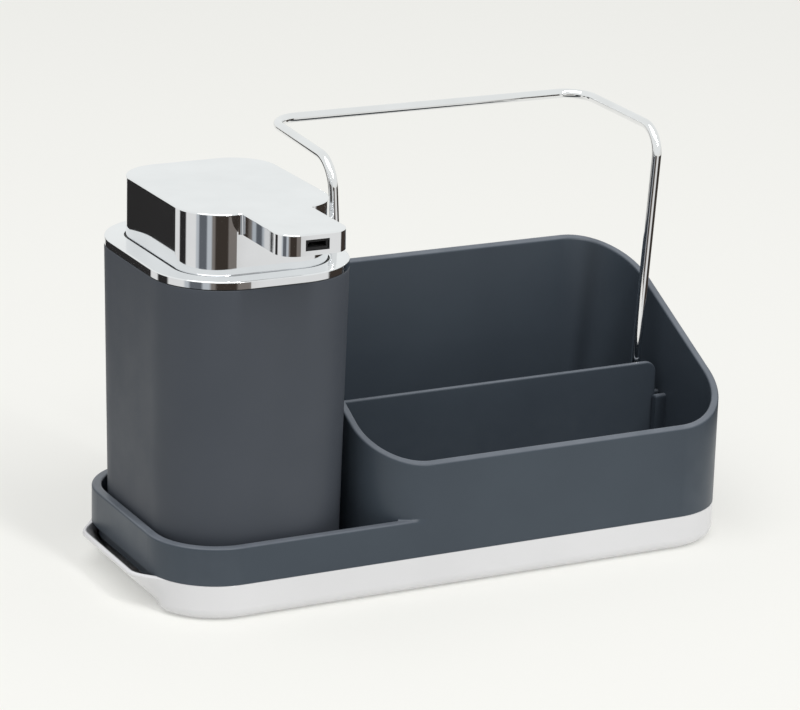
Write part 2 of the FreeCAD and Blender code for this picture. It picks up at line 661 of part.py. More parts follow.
def make_pump_carrier():
    """A flange on the mouth, a plug in it and a cup that the press head sinks into."""
    body = new_body("pump_carrier", on_pump_axis=True)
    cup_growth = "size.head_gap + size.cup_gap"
    cup = new_sketch(body, offset=f"{DECK} - size.cup_floor")
    head_opening(cup, f"{cup_growth} + size.cup_wall")
    pad(body, cup, f"{FLANGE_TOP} - {DECK} + size.cup_floor")
    plug = new_sketch(body, offset=f"{MOUTH} - size.plug_depth")
    mouth_draw = "size.bottle_draw * size.plug_depth / size.bottle_height"
    centred_outline(plug, *BOTTLE_OUTLINE, f"size.bottle_wall + size.plug_gap + {mouth_draw}")
    pad(body, plug, f"{FLANGE_TOP} - {MOUTH} + size.plug_depth")
    flange = new_sketch(body, offset=FLANGE_BOTTOM)
    centred_outline(flange, *BOTTLE_OUTLINE, "size.flange_inset")
    pad(body, flange, "size.flange_thickness")
    hollow = new_sketch(body, offset=FLANGE_TOP)
    head_opening(hollow, cup_growth)
    pocket(body, hollow, f"{FLANGE_TOP} - {DECK}")
    hole = new_sketch(body, offset=DECK)
    circle(hole, "0", "0", "size.barrel_diameter + 2 * size.hole_gap")
    pocket(body, hole, "size.cup_floor")
    return body


def make_collar_ring():
    body = new_body("collar_ring", on_pump_axis=True)
    foot = f"({MOUTH} + size.collar_gap)"
    outside = new_sketch(body, offset=foot)
    centred_outline(outside, *BOTTLE_OUTLINE, "0")
    pad(body, outside, f"{COLLAR_TOP} - {foot}")
    opening = new_sketch(body, offset=COLLAR_TOP)
    head_opening(opening, "size.head_gap")
    pocket(body, opening, f"{COLLAR_TOP} - {foot}")
    under = new_sketch(body, offset=FLANGE_TOP)
    centred_outline(under, *BOTTLE_OUTLINE, "size.collar_wall")
    pocket(body, under, f"{FLANGE_TOP} - {foot}")
    round_edges(body, level_edges(body.Tip.Shape, number_of(COLLAR_TOP)), "size.collar_round")
    return body


def make_press_head():
    """A shell with an open foot, and a spout that is open to it."""
    body = new_body("press_head", on_pump_axis=True)
    spout_left = "(size.spout_offset - size.spout_width / 2)"
    spout_right = "(size.spout_offset + size.spout_width / 2)"
    outside = new_sketch(body, offset=HEAD_FOOT)
    head_opening(outside, "0")
    pad(body, outside, f"{HEAD_TOP} - {HEAD_FOOT}")
    spout = new_sketch(body, offset=f"{HEAD_TOP} - size.spout_height")
    rounded_rectangle(spout, spout_left, spout_right, SPOUT_TIP, "0", "size.spout_round")
    pad(body, spout, "size.spout_height")
    hollow = new_sketch(body, offset=HEAD_CEILING)
    head_opening(hollow, "-size.head_wall")
    pocket(body, hollow, f"{HEAD_CEILING} - {HEAD_FOOT}")
    spout_hollow = new_sketch(body, offset=HEAD_CEILING)
    rounded_rectangle(spout_hollow, f"{spout_left} + size.head_wall", f"{spout_right} - size.head_wall",
                      f"{SPOUT_TIP} + size.head_wall", "0", "size.spout_round - size.head_wall")
    pocket(body, spout_hollow, f"{HEAD_CEILING} - {SPOUT_FLOOR}")
    outlet = new_sketch(body, "XZ_Plane", f"-({SPOUT_TIP})")
    half = "size.outlet_width / 2"
    rectangle(outlet, f"size.spout_offset - {half}", f"size.spout_offset + {half}",
              f"{OUTLET_MIDDLE} - size.outlet_height / 2", f"{OUTLET_MIDDLE} + size.outlet_height / 2")
    pocket(body, outlet, "size.head_wall")
    roots = [(x, head_front_at(x)) for x in (number_of(spout_left), number_of(spout_right))]
    round_edges(body, upright_edges(body.Tip.Shape, roots), "size.root_round")
    round_edges(body, level_edges(body.Tip.Shape, number_of(HEAD_TOP)), "size.head_round")
    return body


def head_front_at(x):
    """Where the press head's front is at a place along X, on its flat or on a corner's arc."""
    corner = number_of("size.head_corner")
    past_flat = max(abs(x) - number_of(f"{HEAD_LENGTH} / 2") + corner, 0)
    return corner - number_of(f"{HEAD_DEPTH} / 2") - math.sqrt(corner ** 2 - past_flat ** 2)


def make_head_core():
    """The stem's socket under the press head, with a flat channel that leads to the outlet."""
    body = new_body("head_core", on_pump_axis=True)
    boss = new_sketch(body, offset=BOSS_FOOT)
    circle(boss, "0", "0", "size.boss_diameter")
    pad(body, boss, "size.boss_length")
    bar = new_sketch(body, offset=f"{HEAD_CEILING} - {CHANNEL_HEIGHT}")
    half = "size.channel_width / 2"
    rectangle(bar, f"size.spout_offset - {half}", f"size.spout_offset + {half}", INSERT_BACK, "0")
    pad(body, bar, CHANNEL_HEIGHT)
    channel = new_sketch(body, "XZ_Plane", f"-({INSERT_BACK})")
    bore_half = f"({half} - size.channel_wall)"
    rise = f"({CHANNEL_HEIGHT} / 2 - size.channel_wall)"
    middle = f"({HEAD_CEILING} - {CHANNEL_HEIGHT} / 2)"
    rectangle(channel, f"size.spout_offset - {bore_half}", f"size.spout_offset + {bore_half}",
              f"{middle} - {rise}", f"{middle} + {rise}")
    pocket(body, channel, f"-({INSERT_BACK})")
    way = new_sketch(body, offset=middle)
    circle(way, "0", "0", "size.stem_bore")
    pocket(body, way, f"{middle} - {BOSS_FOOT}")
    socket = new_sketch(body, offset=STEM_TOP)
    circle(socket, "0", "0", "size.stem_diameter")
    pocket(body, socket, "size.boss_grip")
    return body


def make_nozzle_insert():
    body = new_body("nozzle_insert", on_pump_axis=True)
    half_width = "(size.outlet_width / 2 - size.insert_gap)"
    half_height = "(size.outlet_height / 2 - size.insert_gap)"
    sketch = new_sketch(body, "XZ_Plane", f"-({INSERT_BACK})")
    for inset in ("0", "size.insert_wall"):
        rectangle(sketch, f"size.spout_offset - ({half_width} - {inset})",
                  f"size.spout_offset + ({half_width} - {inset})",
                  f"{OUTLET_MIDDLE} - ({half_height} - {inset})",
                  f"{OUTLET_MIDDLE} + ({half_height} - {inset})")
    pad(body, sketch, "size.insert_length")
    return body


def make_pump_housing():
    outer, bore = "size.barrel_diameter / 2", "size.barrel_bore / 2"
    socket = "(size.tube_diameter / 2 + size.tube_socket_wall)"
    tube = "size.tube_diameter / 2"
    foot = f"({TUBE_TOP} - size.tube_grip)"
    shoulder = f"({TUBE_TOP} + size.seat_thickness / 2)"
    return turned_piece("pump_housing", [
        (bore, BARREL_TOP), ("size.barrel_flange / 2", BARREL_TOP),
        ("size.barrel_flange / 2", BARREL_FLANGE_BOTTOM), (outer, BARREL_FLANGE_BOTTOM),
        (outer, shoulder), (socket, TUBE_TOP), (socket, foot), (tube, foot), (tube, TUBE_TOP),
        ("size.seat_bore / 2", TUBE_TOP), ("size.seat_bore / 2", SEAT_TOP), (bore, SEAT_TOP)])


def tube_piece(label, inner, outer, bottom, top):
    """A plain ring about the pump's axis, from two radii and two heights."""
    return turned_piece(label, [(inner, bottom), (outer, bottom), (outer, top), (inner, top)])


def make_stem_guide():
    bore = "(size.stem_diameter / 2 + size.stem_gap)"
    plug = "(size.barrel_bore / 2 - size.fit_gap)"
    flange = "size.guide_flange / 2"
    top = f"({BARREL_TOP} + size.guide_plate)"
    return turned_piece("stem_guide", [(bore, GUIDE_FOOT), (plug, GUIDE_FOOT), (plug, BARREL_TOP),
                                       (flange, BARREL_TOP), (flange, top), (bore, top)])


def make_piston_stem():
    bore, cage = "size.stem_bore / 2", "size.stem_cage_bore / 2"
    outer, shoulder = "size.stem_diameter / 2", "size.piston_foot / 2"
    return turned_piece("piston_stem", [(bore, PISTON_FOOT), (shoulder, PISTON_FOOT), (shoulder, SEAL_FOOT),
                                        (outer, SEAL_FOOT), (outer, STEM_TOP), (cage, STEM_TOP),
                                        (cage, STEM_SEAT), (bore, STEM_SEAT)])


def make_ball_cage():
    outer, bore = "(size.barrel_bore / 2 - size.fit_gap)", "size.cage_bore / 2"
    lip = f"({CAGE_TOP} - size.cage_lip)"
    mouth = "size.seat_bore / 2"
    return turned_piece("ball_cage", [(bore, SEAT_TOP), (outer, SEAT_TOP), (outer, CAGE_TOP),
                                      (mouth, CAGE_TOP), (mouth, lip), (bore, lip)])


def make_ball(label, diameter, seat_bore, seat_height):
    """A ball on the round edge of its seat."""
    ball = doc.addObject("Part::Sphere", label)
    ball.Label = label
    ball.setExpression("Radius", f"{diameter} / 2")
    ball.setExpression("Placement.Base.x", PUMP_X)
    lift = f"sqrt(({diameter} / 2)^2 - ({seat_bore} / 2)^2)"
    ball.setExpression("Placement.Base.z", f"{seat_height} + {lift} + size.ball_gap")
    return ball


def coil_path(radius, pitch, turns, start):
    """A helix about the Z axis in quarter turns, each of two tangent arcs that meet at its middle."""
    edges = []
    quarter = math.pi / 2
    slope = pitch / (2 * math.pi)

    def helix_point(angle, reach=radius):
        return Vector(reach * math.cos(angle), reach * math.sin(angle), start + slope * angle)

    def arc_middle(begin, tangent, end):
        chord = end - begin
        half = tangent.getAngle(chord) / 2
        bow = tangent - chord * (tangent.dot(chord) / chord.dot(chord))
        return begin + chord * 0.5 + bow.normalize() * (chord.Length / 2 * math.tan(half))

    def join_radius(angle, tangent):
        """The reach of the join at which the arc arrives square to the radius."""
        begin = helix_point(angle)
        outward = Vector(math.cos(angle + quarter / 2), math.sin(angle + quarter / 2), 0)
        low, high = radius * 0.9, radius * 1.1
        for step in range(60):
            reach = (low + high) / 2
            chord = (helix_point(angle + quarter / 2, reach) - begin).normalize()
            arriving = chord * (2 * chord.dot(tangent)) - tangent
            if arriving.dot(outward) > 0:
                high = reach
            else:
                low = reach
        return reach

    for index in range(4 * turns):
        angle = index * quarter
        tangent = Vector(-radius * math.sin(angle), radius * math.cos(angle), slope).normalize()
        next_angle = angle + quarter
        leaving = Vector(-radius * math.sin(next_angle), radius * math.cos(next_angle), slope).normalize()
        join = helix_point(angle + quarter / 2, join_radius(angle, tangent))
        begin, end = helix_point(angle), helix_point(next_angle)
        edges.append(Part.Arc(begin, arc_middle(begin, tangent, join), join).toShape())
        edges.append(Part.Arc(join, arc_middle(end, leaving * -1, join), end).toShape())
    return Part.Wire(edges)


def make_return_spring():
    wire = number_of("size.spring_wire")
    radius = number_of("size.spring_outside") / 2 - wire / 2
    turns = round(number_of("size.spring_turns"))
    gap = number_of("size.spring_gap")
    low = number_of(CAGE_TOP) + gap + wire / 2
    high = number_of(PISTON_FOOT) - gap - wire / 2
    pitch = (high - low) / turns
    print("spring: gap between turns %.3f mm" % (pitch - wire))
    path = coil_path(radius, pitch, turns, low)
    spring = doc.addObject("Part::Feature", "return_spring")
    spring.Label = "return_spring"
    direction = path.Edges[0].tangentAt(path.Edges[0].FirstParameter)
    spring.Shape = swept_round(path, Vector(radius, 0, low), direction, wire)
    spring.Placement = FreeCAD.Placement(Vector(number_of(PUMP_X), 0, 0), FreeCAD.Rotation())
    return spring


def make_pieces():
    barrel_hole = "(size.barrel_diameter / 2 + size.hole_gap)"
    return [
        make_drip_tray(),
        make_caddy_body(),
        make_body_skirt(),
        make_divider_plate(),
        make_cloth_rail(),
        make_bottle(),
        make_mouth_gasket(),
        make_pump_carrier(),
        make_collar_ring(),
        make_press_head(),
        make_head_core(),
        make_nozzle_insert(),
        make_pump_housing(),
        tube_piece("housing_gasket", barrel_hole, "size.barrel_flange / 2", DECK, BARREL_FLANGE_BOTTOM),
        tube_piece("pump_nut", barrel_hole, "size.nut_diameter / 2",
                   f"{DECK} - size.cup_floor - size.nut_height", f"{DECK} - size.cup_floor"),
        make_stem_guide(),
        make_piston_stem(),
        tube_piece("piston_seal", "size.stem_diameter / 2", "size.barrel_bore / 2 - size.fit_gap",
                   SEAL_FOOT, SEAL_TOP),
        make_return_spring(),
        make_ball_cage(),
        make_ball("inlet_ball", "size.inlet_ball_diameter", "size.seat_bore", SEAT_TOP),
        make_ball("outlet_ball", "size.outlet_ball_diameter", "size.stem_bore", STEM_SEAT),
        tube_piece("dip_tube", "size.seat_bore / 2", "size.tube_diameter / 2",
                   f"{FLOOR} + size.bottle_floor + size.tube_gap", TUBE_TOP),
    ]


def check_document(pieces):
    """Stops before anything is written if an object failed or a piece isn't one sound solid."""
    for item in doc.Objects:
        if "Invalid" in item.State or "Error" in item.State:
            raise RuntimeError("failed: %s %s" % (item.Name, item.State))
    for piece in pieces:
        shape = piece.Shape
        if shape.isNull() or not shape.isValid() or len(shape.Solids) != 1:
            raise RuntimeError("not one sound solid: " + piece.Label)


pieces = make_pieces()
doc.recompute()
check_document(pieces)
os.makedirs("parts", exist_ok=True)
for piece in pieces:
    piece.Shape.exportStep("parts/%s.step" % piece.Label)
    box = piece.Shape.optimalBoundingBox()
    print("%-15s volume %10.1f  x %7.2f %7.2f  y %7.2f %7.2f  z %7.2f %7.2f" % (
        piece.Label, piece.Shape.Volume, box.XMin, box.XMax, box.YMin, box.YMax, box.ZMin, box.ZMax))
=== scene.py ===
import json
import math

import bmesh
import bpy
from mathutils import Matrix, Vector


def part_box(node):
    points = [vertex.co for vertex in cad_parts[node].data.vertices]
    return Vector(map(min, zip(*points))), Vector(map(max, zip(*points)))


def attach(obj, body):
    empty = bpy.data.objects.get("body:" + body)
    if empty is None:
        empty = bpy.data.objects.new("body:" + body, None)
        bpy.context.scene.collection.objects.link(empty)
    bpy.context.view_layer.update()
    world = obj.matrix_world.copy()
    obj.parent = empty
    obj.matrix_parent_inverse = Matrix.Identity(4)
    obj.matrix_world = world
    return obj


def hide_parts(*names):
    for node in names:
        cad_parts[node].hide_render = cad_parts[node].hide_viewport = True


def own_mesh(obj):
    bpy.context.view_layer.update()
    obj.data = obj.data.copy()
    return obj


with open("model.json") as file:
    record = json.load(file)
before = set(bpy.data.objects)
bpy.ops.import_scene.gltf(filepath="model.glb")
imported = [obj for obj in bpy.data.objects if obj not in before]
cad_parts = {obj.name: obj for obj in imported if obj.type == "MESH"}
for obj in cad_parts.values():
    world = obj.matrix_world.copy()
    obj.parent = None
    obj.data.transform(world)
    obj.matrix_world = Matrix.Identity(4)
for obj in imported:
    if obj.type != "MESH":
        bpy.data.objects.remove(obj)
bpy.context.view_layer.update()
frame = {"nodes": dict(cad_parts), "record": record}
nodes = frame["nodes"]

MM = 0.001

# The photograph's camera: its place, how it turns round the caddy, how far it looks down and its roll.
CAMERA_PLACE = Vector((-611.5, -1170.85, 494.8)) * MM
CAMERA_TURN = math.radians(-27.379)
CAMERA_TILT = math.radians(17.479)
CAMERA_ROLL = math.radians(1.663)
CAMERA_LENS = 155.64
CAMERA_SENSOR = 36
CAMERA_NEAREST = 0.01
CAMERA_FURTHEST = 50

# The pale studio, in linear colour.
STUDIO_PALE = (0.896, 0.896, 0.863)
FLOOR_COLOUR = (0.9, 0.9, 0.868)
FLOOR_HALF = 6
FLOOR_DROP = 0.0001
FLOOR_GLOW = 0.45
SKY_COLOUR = (1, 1, 1)
SKY_LEVEL = 0.5
SKY_IN_CHROME = (0.9, 0.92, 0.91)

# A tall, narrow lamp in front, a little to the right.
KEY_POWER = 92
KEY_COLOUR = (1, 0.995, 0.985)
KEY_AWAY = 5
KEY_WIDTH = 0.45
KEY_LENGTH = 3.4
KEY_TURN = math.radians(11)
KEY_HEIGHT = math.radians(47)

# A broad, soft lamp overhead, a little to the left.
TOP_POWER = 33
TOP_COLOUR = (1, 1, 1)
TOP_PLACE = Vector((-0.75, -0.5, 2.65))
TOP_WIDTH = 2.2

# Tall cards that only mirrored rays see, in a ring about the press head's front left corner: from and to, in
# degrees, and their tone, which blends into the next one's.
CARD_MIDDLE = Vector((-95.5, -22.25)) * MM
CARD_RADIUS = 340 * MM
CARD_HEIGHT = 125 * MM
CARD_STEP = 1
CARD_BLEND = 2
CARDS = (
    (95, 120, "charcoal_card"),
    (120, 139, "white_card"),
    (139, 162, "charcoal_card"),
    (162, 192, "white_card"),
    (192, 200, "pale_card"),
    (200, 220, "slate_card"),
    (220, 232, "pale_card"),
    (232, 240, "taupe_card"),
    (240, 272, "umber_card"),
    (272, 291.5, "taupe_card"),
    (291.5, 335, "white_card"),
    (335, 385, "umber_card"),
)
CARD_TONES = {
    "charcoal_card": Vector((0.026, 0.025, 0.025)),
    "umber_card": Vector((0.045, 0.036, 0.03)),
    "taupe_card": Vector((0.2, 0.18, 0.165)),
    "slate_card": Vector((0.12, 0.13, 0.145)),
    "pale_card": Vector((0.5, 0.53, 0.56)),
    "white_card": Vector((0.8, 0.8, 0.79)),
}


def shown(name, content):
    """An object in the scene for a mesh, a camera or a lamp."""
    holder = bpy.data.objects.new(name, content)
    bpy.context.scene.collection.objects.link(holder)
    return holder


def new_object(name, mesh, material):
    """A shown object for a finished mesh."""
    mesh.materials.append(material)
    return shown(name, mesh)


def mesh_from(builder, name):
    """A mesh out of an edit mesh, which is freed."""
    mesh = bpy.data.meshes.new(name)
    builder.to_mesh(mesh)
    builder.free()
    return mesh


# Finishes. Level rims above the floors get a painted highlight; sharp edges are rubbed pale.

# Heights where the painted rim highlight starts and where it is full.
RIM_HIGHLIGHT_ABOVE = 20 * MM
RIM_HIGHLIGHT_FULLY_ABOVE = 25 * MM
LEAST_SHARP = 0.53
MOST_SHARP = 0.64
LEAST_LEVEL = 0.4
MOST_LEVEL = 0.95


def add_node(tree, kind, **settings):
    """A node with its plain settings."""
    node = tree.nodes.new(kind)
    for setting, value in settings.items():
        setattr(node, setting, value)
    return node


def opaque(colour):
    """A colour with full cover, as sockets take it."""
    return (*colour, 1)


def new_material(name):
    """An empty node material: the material, its tree and the socket that its look goes into."""
    material = bpy.data.materials.new(name)
    material.use_nodes = True
    tree = material.node_tree
    tree.nodes.clear()
    output = add_node(tree, "ShaderNodeOutputMaterial")
    return material, tree, output.inputs["Surface"]


def new_finish(name):
    """A node material with one shader: the material, its tree and the shader."""
    material, tree, surface = new_material(name)
    shader = add_node(tree, "ShaderNodeBsdfPrincipled")
    tree.links.new(shader.outputs["BSDF"], surface)
    return material, tree, shader


def piece_space(tree, stretch=(1, 1, 1)):
    """The piece's own place in metres, stretched along its axes."""
    place = add_node(tree, "ShaderNodeTexCoord")
    mapping = add_node(tree, "ShaderNodeMapping")
    mapping.inputs["Scale"].default_value = stretch
    tree.links.new(place.outputs["Object"], mapping.inputs["Vector"])
    return mapping.outputs["Vector"]


def cloudy(tree, space, scale, detail, roughness=0.5):
    """Soft noise with so many features to the metre."""
    noise = add_node(tree, "ShaderNodeTexNoise")
    noise.inputs["Scale"].default_value = scale
    noise.inputs["Detail"].default_value = detail
    noise.inputs["Roughness"].default_value = roughness
    tree.links.new(space, noise.inputs["Vector"])
    return noise.outputs["Fac"]


def between(tree, value, low, high, start=0.3, end=0.7):
    """Spreads a value that lies between start and end over low to high."""
    spread = add_node(tree, "ShaderNodeMapRange")
    spread.inputs["From Min"].default_value = start
    spread.inputs["From Max"].default_value = end
    spread.inputs["To Min"].default_value = low
    spread.inputs["To Max"].default_value = high
    tree.links.new(value, spread.inputs["Value"])
    return spread.outputs["Result"]


def shades(tree, factor, first, second):
    """A colour between two, by a factor."""
    mix = add_node(tree, "ShaderNodeMix", data_type="RGBA")
    mix.inputs["A"].default_value = opaque(first)
    mix.inputs["B"].default_value = opaque(second)
    tree.links.new(factor, mix.inputs["Factor"])
    return mix.outputs["Result"]


def laid_over(tree, factor, under, top):
    """A colour laid over a changing one, by a factor."""
    mix = add_node(tree, "ShaderNodeMix", data_type="RGBA")
    mix.inputs["B"].default_value = opaque(top)
    tree.links.new(under, mix.inputs["A"])
    tree.links.new(factor, mix.inputs["Factor"])
    return mix.outputs["Result"]


def product(tree, first, second):
    """One value times another."""
    times = add_node(tree, "ShaderNodeMath", operation="MULTIPLY")
    tree.links.new(first, times.inputs[0])
    tree.links.new(second, times.inputs[1])
    return times.outputs["Value"]


def upright_part(tree, vector):
    """A vector's part along the piece's own upright axis."""
    parts = add_node(tree, "ShaderNodeSeparateXYZ")
    tree.links.new(vector, parts.inputs["Vector"])
    return parts.outputs["Z"]


def worn_edges(tree, space, most):
    """How far the sharp outer edges are rubbed, in patches."""
    form = add_node(tree, "ShaderNodeNewGeometry")
    edge = between(tree, form.outputs["Pointiness"], low=0, high=most, start=LEAST_SHARP, end=MOST_SHARP)
    patch = between(tree, cloudy(tree, space, scale=140, detail=3), low=0.35, high=1)
    return product(tree, edge, patch)


def painted_rim_highlight(tree, space, most):
    """How far the level rims, above the floors, are painted pale in patches: a painted highlight for the
    overhead light.
    """
    # Painted highlight: faces that look up, above the floors, take the paler tone.
    form = add_node(tree, "ShaderNodeTexCoord")
    facing_up = upright_part(tree, form.outputs["Normal"])
    level = between(tree, facing_up, low=0, high=most, start=LEAST_LEVEL, end=MOST_LEVEL)
    height = upright_part(tree, space)
    raised = between(tree, height, low=0, high=1, start=RIM_HIGHLIGHT_ABOVE, end=RIM_HIGHLIGHT_FULLY_ABOVE)
    patch = between(tree, cloudy(tree, space, scale=90, detail=4), low=0.7, high=1)
    return product(tree, product(tree, level, raised), patch)


def bumped(tree, height, depth, strength, below=None):
    """The normal over a height, which is so many metres deep and can lie on another normal."""
    bump = add_node(tree, "ShaderNodeBump")
    bump.inputs["Distance"].default_value = depth
    bump.inputs["Strength"].default_value = strength
    tree.links.new(height, bump.inputs["Height"])
    if below is not None:
        tree.links.new(below, bump.inputs["Normal"])
    return bump.outputs["Normal"]


def moulded_plastic(name, light, dark, wear_and_highlight, gloss, grain_depth, shine):
    """A moulded plastic: uneven tone, a fine die grain, flow waves, rubbed edges and a painted highlight on
    level rims.
    """
    material, tree, shader = new_finish(name)
    space = piece_space(tree)
    clouds = between(tree, cloudy(tree, space, scale=22, detail=4), low=0, high=1)
    tone = shades(tree, clouds, dark, light)
    tone = laid_over(tree, worn_edges(tree, space, most=0.12), tone, wear_and_highlight)
    # Painted highlight: level rims above the floors are laid over in the same paler tone.
    tone = laid_over(tree, painted_rim_highlight(tree, space, most=0.65), tone, wear_and_highlight)
    tree.links.new(tone, shader.inputs["Base Color"])
    smoothest, roughest = gloss
    patches = cloudy(tree, space, scale=60, detail=5, roughness=0.6)
    tree.links.new(between(tree, patches, low=smoothest, high=roughest), shader.inputs["Roughness"])
    waves = bumped(tree, cloudy(tree, space, scale=35, detail=2), depth=0.00008, strength=0.25)
    grain = cloudy(tree, space, scale=2600, detail=2)
    grain = bumped(tree, grain, depth=grain_depth, strength=0.35, below=waves)
    tree.links.new(grain, shader.inputs["Normal"])
    shader.inputs["IOR"].default_value = 1.5
    shader.inputs["Specular IOR Level"].default_value = shine
    return material


def bright_chrome(name, colour, smudge, stretch):
    """Chrome plate: a mirror with faint wipe marks and a slightly wavy ground."""
    material, tree, shader = new_finish(name)
    space = piece_space(tree)
    clouds = between(tree, cloudy(tree, space, scale=45, detail=4), low=0, high=1)
    tree.links.new(shades(tree, clouds, colour, smudge), shader.inputs["Base Color"])
    wipes = cloudy(tree, piece_space(tree, stretch), scale=220, detail=4, roughness=0.6)
    tree.links.new(between(tree, wipes, low=0.035, high=0.075), shader.inputs["Roughness"])
    waves = bumped(tree, cloudy(tree, space, scale=30, detail=1), depth=0.00004, strength=0.2)
    tree.links.new(waves, shader.inputs["Normal"])
    shader.inputs["Metallic"].default_value = 1
    return material


def drawn_steel():
    """Bare spring steel with fine lines from drawing."""
    material, tree, shader = new_finish("drawn_steel")
    lines = cloudy(tree, piece_space(tree, stretch=(1, 1, 8)), scale=900, detail=3)
    tone = shades(tree, between(tree, lines, low=0, high=1), (0.5, 0.5, 0.5), (0.64, 0.64, 0.63))
    tree.links.new(tone, shader.inputs["Base Color"])
    tree.links.new(between(tree, lines, low=0.22, high=0.38), shader.inputs["Roughness"])
    tree.links.new(bumped(tree, lines, depth=0.00002, strength=0.3), shader.inputs["Normal"])
    shader.inputs["Metallic"].default_value = 1
    return material


def seal_rubber():
    """Soft black rubber with a dusty bloom."""
    material, tree, shader = new_finish("seal_rubber")
    space = piece_space(tree)
    bloom = cloudy(tree, space, scale=320, detail=5, roughness=0.65)
    tone = shades(tree, between(tree, bloom, low=0, high=1), (0.022, 0.022, 0.024), (0.05, 0.05, 0.05))
    tree.links.new(tone, shader.inputs["Base Color"])
    tree.links.new(between(tree, bloom, low=0.6, high=0.8), shader.inputs["Roughness"])
    grain = bumped(tree, cloudy(tree, space, scale=1800, detail=2), depth=0.00004, strength=0.4)
    tree.links.new(grain, shader.inputs["Normal"])
    return material


def natural_plastic():
    """Milky, slightly see-through pump plastic."""
    material, tree, shader = new_finish("natural_plastic")
    space = piece_space(tree)
    clouds = cloudy(tree, space, scale=90, detail=4)
    tone = shades(tree, between(tree, clouds, low=0, high=1), (0.7, 0.7, 0.67), (0.79, 0.79, 0.77))
    tree.links.new(tone, shader.inputs["Base Color"])
    tree.links.new(between(tree, clouds, low=0.3, high=0.42), shader.inputs["Roughness"])
    grain = bumped(tree, cloudy(tree, space, scale=1500, detail=2), depth=0.00002, strength=0.3)
    tree.links.new(grain, shader.inputs["Normal"])
    shader.inputs["Subsurface Weight"].default_value = 0.1
    shader.inputs["Subsurface Radius"].default_value = (0.002, 0.002, 0.0018)
    return material


# Each plastic's paler tone serves both its rubbed edges and its painted rim highlight.
GREY = moulded_plastic("satin_blue_grey", light=(0.057, 0.072, 0.09), dark=(0.05, 0.063, 0.08),
                       wear_and_highlight=(0.23, 0.25, 0.285), gloss=(0.3, 0.38), grain_depth=0.00003, shine=0.2)
BOTTLE_GREY = moulded_plastic("matte_bottle_grey", light=(0.063, 0.071, 0.086), dark=(0.056, 0.064, 0.078),
                              wear_and_highlight=(0.12, 0.13, 0.145), gloss=(0.44, 0.54), grain_depth=0.00004, shine=0.18)
WHITE = moulded_plastic("gloss_white", light=(0.74, 0.74, 0.755), dark=(0.7, 0.7, 0.715),
                        wear_and_highlight=(0.82, 0.82, 0.83), gloss=(0.16, 0.24), grain_depth=0.00001, shine=0.5)
BLACK = moulded_plastic("black_outlet", light=(0.008, 0.008, 0.009), dark=(0.005, 0.005, 0.006),
                        wear_and_highlight=(0.03, 0.03, 0.03), gloss=(0.38, 0.5), grain_depth=0.00003, shine=0.3)
CHROME = bright_chrome("chromed_head_and_collar", colour=(0.87, 0.88, 0.895), smudge=(0.82, 0.83, 0.845),
                       stretch=(1, 6, 1))
CHROMED_WIRE = bright_chrome("chromed_rail_wire", colour=(0.85, 0.855, 0.865), smudge=(0.79, 0.795, 0.8),
                             stretch=(1, 1, 5))
STEEL = drawn_steel()
RUBBER = seal_rubber()
NATURAL = natural_plastic()

FINISH_OF_SLOT = {
    "white_plastic": WHITE,
    "grey_plastic": GREY,
    "bottle_plastic": BOTTLE_GREY,
    "chromed_trim": CHROME,
    "chromed_wire": CHROMED_WIRE,
    "black_plastic": BLACK,
    "pump_plastic": NATURAL,
    "soft_rubber": RUBBER,
    "bare_steel": STEEL,
}


def finish_cad_nodes():
    """Gives each CAD node the finish of its material slot."""
    for subpart in frame["record"]["subparts"]:
        node = nodes[subpart["node"]]
        for place in node.material_slots:
            place.material = FINISH_OF_SLOT[subpart["material_slot"]]


# Pieces of rings round a rounded rectangle: the drip tray, with a pouring lip at its left end, and the
# bottle. Each straight run of a profile has two points close to its ends, which keep the rounds crisp.

QUARTER = math.pi / 2
CORNER_STEPS = 26
SIDE_STEPS = 40
ROUND_STEPS = 10
WALL_STEPS = 8
EDGE_STEPS = 6
RUN_HOLD = 0.02
TRAY_CORNER = 28 * MM
TRAY_ROUND = 4.5 * MM
TRAY_WALL = 2.4 * MM
TRAY_FLOOR = 2.4 * MM
TRAY_EDGE = 0.5 * MM
INNER_ROUND = 1.6 * MM
LIP_WALL = 2.1 * MM
LIP_LEAN = math.radians(46)
LIP_ROUND = 2 * MM
LIP_FULL = 22 * MM
LIP_END = 38 * MM
LIP_FOOT_FURTHER = 11 * MM
BOTTLE_CORNER = 28.5 * MM
BOTTLE_DRAW = 1.75 * MM
BOTTLE_WALL = 3 * MM
BOTTLE_FLOOR = 2.6 * MM
BOTTLE_EDGE = 0.4 * MM


def rounded_outline(middle, half_length, half_depth, corner):
    """Points once round a rounded rectangle, with the way outwards at each."""
    reach_x = half_length - corner
    reach_y = half_depth - corner
    corners = [(reach_x, reach_y), (-reach_x, reach_y), (-reach_x, -reach_y), (reach_x, -reach_y)]
    outline = []
    for index, (x, y) in enumerate(corners):
        for step in range(CORNER_STEPS + 1):
            angle = QUARTER * (index + step / CORNER_STEPS)
            outwards = Vector((math.cos(angle), math.sin(angle)))
            outline.append((middle + Vector((x, y)) + outwards * corner, outwards))
        first, outwards = outline[-1]
        last = middle + Vector(corners[(index + 1) % 4]) + outwards * corner
        for step in range(1, SIDE_STEPS):
            outline.append((first.lerp(last, step / SIDE_STEPS), outwards))
    return outline


def arc(middle, radius, start, end, steps):
    """Points of a profile's arc, from one angle to another."""
    points = []
    for step in range(steps + 1):
        angle = start + (end - start) * step / steps
        points.append(middle + Vector((math.cos(angle), math.sin(angle))) * radius)
    return points


def run(first, last):
    """Points of a profile's straight run, without its ends."""
    shares = [step / WALL_STEPS for step in range(1, WALL_STEPS)]
    return [first.lerp(last, share) for share in [RUN_HOLD, *shares, 1 - RUN_HOLD]]


